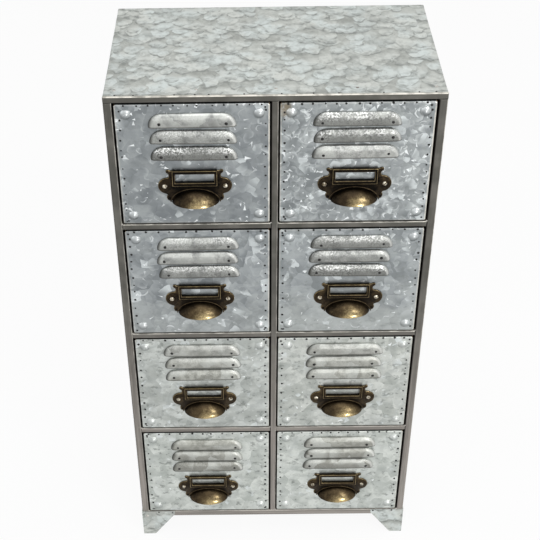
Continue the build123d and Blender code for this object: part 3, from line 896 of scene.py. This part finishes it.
def pull_parts():
    """The cup pull about the middle of the cup's lower rim, its back at y = 0."""
    shape = Shape()
    outline = plate_outline()
    rings = [(0.0, 0.0, 0.1), (0.0, -1.15, 0.25), (0.22, -1.55, 0.62), (0.7, -PLATE, 0.16)]
    rows = [[(x, y, z) for x, z in inset(outline, amount)] for amount, y, _ in rings]
    shape.loft(rows, closed=True, wear=lambda row, *_: rings[row][2])
    points, faces = ring_fill(rows[-1], box_ring(21.9, 5.65, -PLATE, 0.4))
    shape.add(points, faces, wear=[0.18 if abs(x) > 24 else 0.03 for x, _, _ in points])
    shape.add(*ring_fill(rows[0], box_ring(21.9, 5.65, 0.0, 0.4)))
    # Card frame: a raised band round the window, as half sizes, depth, corner and wear.
    bands = [
        (25.25, 10.15, -PLATE + 0.4, 0.5, 0.1), (25.25, 10.15, -4.2, 0.5, 0.25),
        (25.05, 9.95, -4.65, 0.5, 0.6), (24.7, 9.6, -4.8, 0.5, 0.5),
        (24.2, 9.1, -4.8, 0.4, 0.05), (22.9, 6.85, -4.8, 0.4, 0.05),
        (22.4, 6.25, -4.72, 0.4, 0.5), (22.0, 5.75, -4.3, 0.4, 0.35),
        (22.0, 5.75, -2.6, 0.4, 0.0), (21.9, 5.65, 0.0, 0.4, 0.0)]
    shape.loft([box_ring(*band[:4]) for band in bands], closed=True,
               wear=lambda row, *_: bands[row][4])
    # Cup: outer bowl, rolled rim and hollow, slightly flatter than a quarter ball.
    chords, lifts, power, lip = even(0, math.pi, 40), even(0, QUARTER, 18), 1.18, 0.45

    def bowl(wall, lift, lowest=0.0):
        """The level line of the bowl at a lift from 0 to a quarter turn, so far inside."""
        shrink = max(0.0, math.cos(lift)) ** power
        up = (CUP_HEIGHT - wall) * max(0.0, math.sin(lift)) ** power
        return [((CUP_HALF - wall) * shrink * math.cos(turn),
                 -(CUP_REACH - wall) * shrink * math.sin(turn), max(up, lowest)) for turn in chords]

    def bowl_wear(row, _, point):
        if row >= len(lifts):
            return 0.6 if row < len(lifts) + 2 else 0.0
        low = max(0.0, 1 - point[2] / CUP_HEIGHT)
        side = math.exp(-((point[0] - 5) / 14.5) ** 2)
        return 0.13 + 0.81 * side * (0.05 + 0.95 * low ** 1.05)

    rows = [bowl(0.0, lift) for lift in reversed(lifts[2:])]
    rows += [bowl(0.0, lifts[1], 2 * lip), bowl(0.0, 0.0, lip)]
    rows += [bowl(CUP_WALL * share, 0.0) for share in (0.25, 0.75)]
    rows += [bowl(CUP_WALL, 0.0, lip)] + [bowl(CUP_WALL, lift) for lift in lifts[1:]]
    shape.loft(rows, wear=bowl_wear)
    # A thin raised line on the plate round the bowl.
    line = (-0.6, 0.0, 0.55, 1.1, 1.6, 2.1, 2.7, 3.2, 3.7)
    line_radius = 0.75
    arch = []
    for turn in chords:
        centre = Vector((28.0 * math.cos(turn), -PLATE, 0.4 + 17.4 * math.sin(turn)))
        outward = Vector((math.cos(turn), 0, math.sin(turn)))
        arch.append([centre + line_radius * (outward * math.cos(a) - Vector((0, math.sin(a), 0)))
                     for a in line])
    shape.loft(arch, wear=lambda row, column, point: 0.32 if column in (3, 4, 5) else 0.08)
    # Small bosses in the lugs.
    for side in (-1, 1):
        nail(shape, facing(side * 29.6, -PLATE, 5.0, FRONT), 1.5, 0.6, 12)
    return shape


def screw_part():
    """A slotted round screw head on local z = 0, its slot along local y."""
    shape = Shape()
    radius, rise, slot, floor_rise = 2.7, 1.2, 0.42, 0.35
    outer = [slot - 0.04, slot + 0.06, 0.9, 1.5, 2.0, 2.4, 2.67]
    rows = []
    for u in [-value for value in reversed(outer)] + outer:
        row = []
        for turn in even(-QUARTER, QUARTER, 12):
            v = math.sqrt(radius * radius - u * u) * math.sin(turn)
            share = min(1.0, math.hypot(u, v) / radius)
            up = rise * math.sqrt(max(0.0, 1 - share ** 2.6))
            row.append((u, v, min(up, floor_rise) if abs(u) < slot else up))
        rows.append(row)
    shape.loft(rows)
    return shape


pull_template = pull_parts()
screw_template = screw_part()


def pull(name, centre, front, bottom, chance):
    shape, screws = Shape(), Shape()
    place = Matrix.Translation((centre, front, bottom))
    shape.add(pull_template.points, pull_template.faces, place, pull_template.wear)
    made = shape.build(name + "_cup_pull", name, "antique_brass", [brass],
                       replaces=[name + "_pull"], angle=38)
    join(made, 0.01)
    for side in (-1, 1):
        spot = facing(centre + side * SCREW_REACH, front - PLATE, bottom + SCREW_LEVEL, FRONT,
                      chance.uniform(0, math.pi))
        screws.add(screw_template.points, screw_template.faces, spot)
    screws.build(name + "_screws", name, "antique_brass", [screw_head], angle=50)


def edge_pins(name, x_span, z_span, front, chance):
    """Dark pins down both sides and along the top of a front, a little uneven."""
    shape = Shape()
    low, high = z_span[0] + 5.5, z_span[1] - 9
    size = 0.8 if name.endswith("left_1") else 0.95

    def pin(x, z):
        nail(shape, facing(x, front - 0.1, z, FRONT), size * chance.uniform(1.05, 1.7), 0.5)

    for side, edge in ((-1, x_span[0]), (1, x_span[1])):
        for level in even(low, high, chance.choice((11, 12, 13)) - 1):
            level += chance.uniform(-2.6, 2.6)
            pin(edge - side * (5 + chance.uniform(-0.7, 0.7)), level)
        if chance.random() < 0.6:
            pin(edge - side * chance.uniform(3.6, 6), high + chance.uniform(4, 5))
        if chance.random() < 0.4:
            pin(edge - side * chance.uniform(5.5, 7), low - 1.5)
    for across in even(x_span[0] + 9, x_span[1] - 9, chance.choice((11, 12, 13)) - 1):
        pin(across + chance.uniform(-2.5, 2.5), z_span[1] - chance.uniform(1.2, 2.0))
    shape.build(name + "_pins", name, "frame_steel", [nail_black])


drawers = sorted(body for body in frame["bodies"] if body.startswith("drawer"))
for index, name in enumerate(drawers):
    chance = random.Random(41 + index)
    cell = name.removeprefix("drawer_")
    grains, hood_rise, pull_rise = BY_HAND[cell]
    low, high = corners(name + "_face")
    hood_low, hood_high = corners(name + "_hoods")
    pull_low, pull_high = corners(name + "_pull")
    front = hood_high.y
    x_span, z_span = (low.x, high.x), (low.z, high.z)
    centre = sum(x_span) / 2
    bottoms = even(hood_high.z - HOOD_HEIGHT, hood_low.z, 2)
    face_sheet(name, front_zincs[cell], x_span, z_span, front, index * 1.7)
    hoods(name, centre, front, bottoms, grains, hood_rise, chance)
    pull(name, centre, front, pull_low.z + pull_rise, chance)
    edge_pins(name, x_span, z_span, front, chance)

# ------------------------------------------------------------------ casing
CASE_BEND = 1.5
CASE_SHEET = 0.7
CASE_GRID = (16, 1.0, 4.0)
CASE_BUCKLE, CASE_BUCKLE_SIZE, CASE_MARGIN, TOP_MARGIN = 0.22, 46, 10, 12
EDGE_DIP, EDGE_REACH = 0.35, 1.2
NAIL_DENT, NAIL_DENT_RADIUS = 0.6, 4.0
case_low, case_high = corners("casing_sheet")
# A hair under the CAD's top, so that rounding doesn't lift the sheet past it.
top_z = case_high.z - 0.01
top_nails = [(x, case_low.y + 1.8)
             for x in (-172, -152, -108, -86, -71, -33, 7, 41, 68, 116, 154, 172)]
board_nails = [(x, case_low.y + 13.0) for x in (-173.5, -84.7, 1, 88.8, 174)]


def casing_skin():
    """One sheet over the top and down both sides, faintly buckled, dented at its nails."""
    half = case_high.x
    flat = half - CASE_BEND
    # The left side and its bend, then the top, then the right side as a mirror of the left.
    left = [(-half, level, LEFT) for level in even(case_low.z, top_z - CASE_BEND, 96)]
    for turn in even(0, QUARTER, 5)[1:-1]:
        left.append((-flat - CASE_BEND * math.cos(turn), top_z - CASE_BEND * (1 - math.sin(turn)),
                     (-math.cos(turn), 0, math.sin(turn))))
    path = left + [(x, top_z, UP) for x in even(-flat, flat, 150)]
    path += [(-x, z, (-normal[0], 0, normal[2])) for x, z, normal in reversed(left)]
    rows = []
    for x, z, normal in path:
        row = []
        inside = min(1.0, (half - abs(x)) / TOP_MARGIN) if normal == UP else 1.0
        for y in reversed(spaced(case_low.y, case_high.y, *CASE_GRID)):
            rim = max(0.0, min(CASE_MARGIN, y - case_low.y, case_high.y - y)) / CASE_MARGIN
            sink = CASE_BUCKLE * (1 + ripple(x, y, z, CASE_BUCKLE_SIZE, 5.1)) * rim * inside
            sink += EDGE_DIP * max(0.0, 1 - (y - case_low.y) / EDGE_REACH) ** 2
            if normal == UP:
                for nail_x, nail_y in top_nails + board_nails:
                    apart = math.hypot(x - nail_x, y - nail_y) / NAIL_DENT_RADIUS
                    sink = max(sink, NAIL_DENT * (1 - apart ** 2))
            row.append((x - normal[0] * sink, y, z - normal[2] * sink))
        rows.append(row)
    shape = Shape()
    shape.loft(rows)
    made = shape.build("casing_skin", "carcass", "galvanised_casing", [casing_zinc, sheet_edge],
                       replaces=["casing_sheet"], recalc=False)
    thicken(made, CASE_SHEET)


casing_skin()

case_nails, zinc_nails = Shape(), Shape()
foot_front = corners("foot_front_left")[0].y
nail_z = top_z - 0.55
chance = random.Random(7)
for x, y in top_nails:
    nail(case_nails, facing(x, y, nail_z, UP), chance.uniform(1.0, 1.25), 0.5)
for x, y in board_nails:
    nail(zinc_nails, facing(x, y, nail_z, UP), 2.0, 0.5)
nail(zinc_nails, facing(-178.6, foot_front, 38.5, FRONT), 2.3, 0.9)
for side in (-1, 1):
    for index in range(18):
        level = 62 + index * 37.5 + chance.uniform(-3, 3)
        for y in (case_low.y + 4, case_high.y - 5):
            spot = facing(side * (case_high.x - 0.25), y + chance.uniform(-0.6, 0.6), level,
                          (side, 0, 0))
            nail(case_nails, spot, chance.uniform(1.1, 1.3), 0.6)
case_nails.build("casing_nails", "carcass", "frame_steel", [nail_black])
zinc_nails.build("casing_zinc_nails", "carcass", "galvanised_casing", [weld_steel])

# ------------------------------------------------------------------ frame welds
WELD_RISE = 0.9
FRONT_GAP = 2.0
left_bar, right_bar, centre_bar = (corners(f"frame_{side}_bar")
                                   for side in ("left", "right", "centre"))
row_edges = sorted({round(corners(f"drawer_left_{row}_face")[0].z - FRONT_GAP, 2)
                    for row in range(1, 5)})
welds = Shape()
chance = random.Random(19)
for x, inward in ((left_bar[1].x, 1), (centre_bar[0].x, -1),
                  (centre_bar[1].x, 1), (right_bar[0].x, -1)):
    for z in row_edges:
        rings = []
        for lift in even(0, QUARTER, 4):
            size = chance.uniform(1.0, 1.15) * math.cos(lift)
            rings.append([(size * math.cos(turn), size * math.sin(turn),
                           WELD_RISE * math.sin(lift)) for turn in even(0, math.tau, 10)[:-1]])
        spot = facing(x + inward * 0.3, left_bar[0].y + WELD_RISE, z + 0.3, FRONT,
                      chance.uniform(0, 3))
        welds.loft(rings, closed=True, place=spot, cap=True)
welds.build("frame_welds", "carcass", "frame_steel", [weld_steel])

# ------------------------------------------------------------------ feet and back
foot_pins = Shape()
for x, z in ((-161.8, 46.0), (-142.6, 45.0), (142.6, 45.6), (169.0, 46.0)):
    nail(foot_pins, facing(x, foot_front, z, FRONT), 1.35, 0.5)
foot_pins.build("foot_nails", "carcass", "frame_steel", [nail_black])

back_nails = Shape()
panel_low, panel_high = corners("back_panel")
bottom, top = panel_low.z + 7, panel_high.z - 7
chance = random.Random(23)
for x in even(panel_low.x + 9, panel_high.x - 9, 8):
    for z in (bottom, top):
        nail(back_nails, facing(x, panel_high.y, z, BACK), 1.5, 0.5)
for z in even(bottom, top, 16)[1:-1]:
    for x in (panel_low.x + 8, panel_high.x - 8, 0):
        nail(back_nails, facing(x + chance.uniform(-1, 1), panel_high.y, z, BACK), 1.5, 0.5)
back_nails.build("back_panel_nails", "carcass", "frame_steel", [nail_black])


# ------------------------------------------------------------------ CAD nodes that stay
def dress(names, material, ease=0.0):
    """Gives CAD nodes their finish, and eases their edges a little."""
    for name in names:
        made = nodes[name]
        made.data.materials.clear()
        made.data.materials.append(material)
        if ease:
            join(made, 0.002)
            bevel = made.modifiers.new("ease", "BEVEL")
            bevel.width, bevel.segments, bevel.limit_method = ease * MM, 3, "ANGLE"
            bevel.angle_limit = math.radians(28)
            made.modifiers.new("shade", "WEIGHTED_NORMAL")


dress(("frame_top_bar", "frame_bottom_bar", "frame_rails"), level_steel, 0.45)
dress(("frame_left_bar", "frame_right_bar", "frame_centre_bar"), upright_steel,
      0.45)
dress(("foot_front_left", "foot_front_right", "foot_back_left", "foot_back_right"), foot_zinc)
dress(("left_board", "right_board", "centre_board"), stained["z"])
dress(("top_board", "bottom_board", "shelves"), stained["x"])
dress(("foot_blocks",), stained["z"], 0.5)
dress(("back_panel",), ply)
dress([name + "_front_board" for name in drawers], pine_across)
dress([name + "_box" for name in drawers], pine, 0.4)

# ------------------------------------------------------------------ floor and light, in metres
FLOOR_GLOW = 0.93
WORLD_LIGHT = 0.5


def shown_ray(graph):
    """1 for the rays that show a background: camera, glossy and transmission rays."""
    path = graph.make("LightPath").outputs
    return graph.most(*(path[f"Is {kind} Ray"] for kind in ("Camera", "Glossy", "Transmission")))


paint = Paint("floor_pale")
grain = paint.span(paint.noise(400), 0.3, 0.7)
paint.colour = paint.mix(grain, (236, 236, 236), (244, 244, 244))
paint.finish(0.9)
mixer = paint.make("MixShader", {
    0: paint.times(shown_ray(paint), FLOOR_GLOW), 1: paint.shader.outputs[0],
    2: paint.make("Emission").outputs[0]})
paint.feed(paint.tree.nodes["Material Output"], {"Surface": mixer.outputs[0]})
floor_mesh = bpy.data.meshes.new("floor")
floor_mesh.from_pydata([(-20, -20, 0), (20, -20, 0), (20, 20, 0), (-20, 20, 0)], [],
                       [(0, 1, 2, 3)])
floor_mesh.materials.append(paint.material)
floor = placed("floor", floor_mesh)

world = bpy.data.worlds.new("studio")
world.use_nodes = True
bpy.context.scene.world = world
sky = Graph(world.node_tree)
light = sky.span(shown_ray(sky), 0.0, 1.0, WORLD_LIGHT, 1.0)
sky.feed(sky.tree.nodes["Background"], {"Color": (1.0, 1.0, 1.0, 1.0), "Strength": light})


def lamp(name, place, target, size, power, colour=(1.0, 1.0, 1.0)):
    """A square lamp that looks at a target."""
    data = bpy.data.lights.new(name, "AREA")
    data.shape, data.size, data.size_y = "RECTANGLE", size, size
    data.energy, data.color = power, colour
    made = placed(name, data)
    made.location = place
    made.rotation_euler = (Vector(target) - made.location).to_track_quat("-Z", "Y").to_euler()


lamp("overhead", (0.1, -0.3, 2.3), (0, 0, 0.5), 1.4, 13)
lamp("upper_right", (1.5, -1.9, 2.2), (0, 0, 0.4), 0.8, 20)
lamp("low_right", (1.2, -2.9, 0.25), (0, 0, 0.35), 0.55, 18, (1.0, 0.98, 0.95))
lamp("left_fill", (-2.2, -1.2, 1.4), (0, 0, 0.35), 1.2, 6, (0.95, 0.98, 1.0))
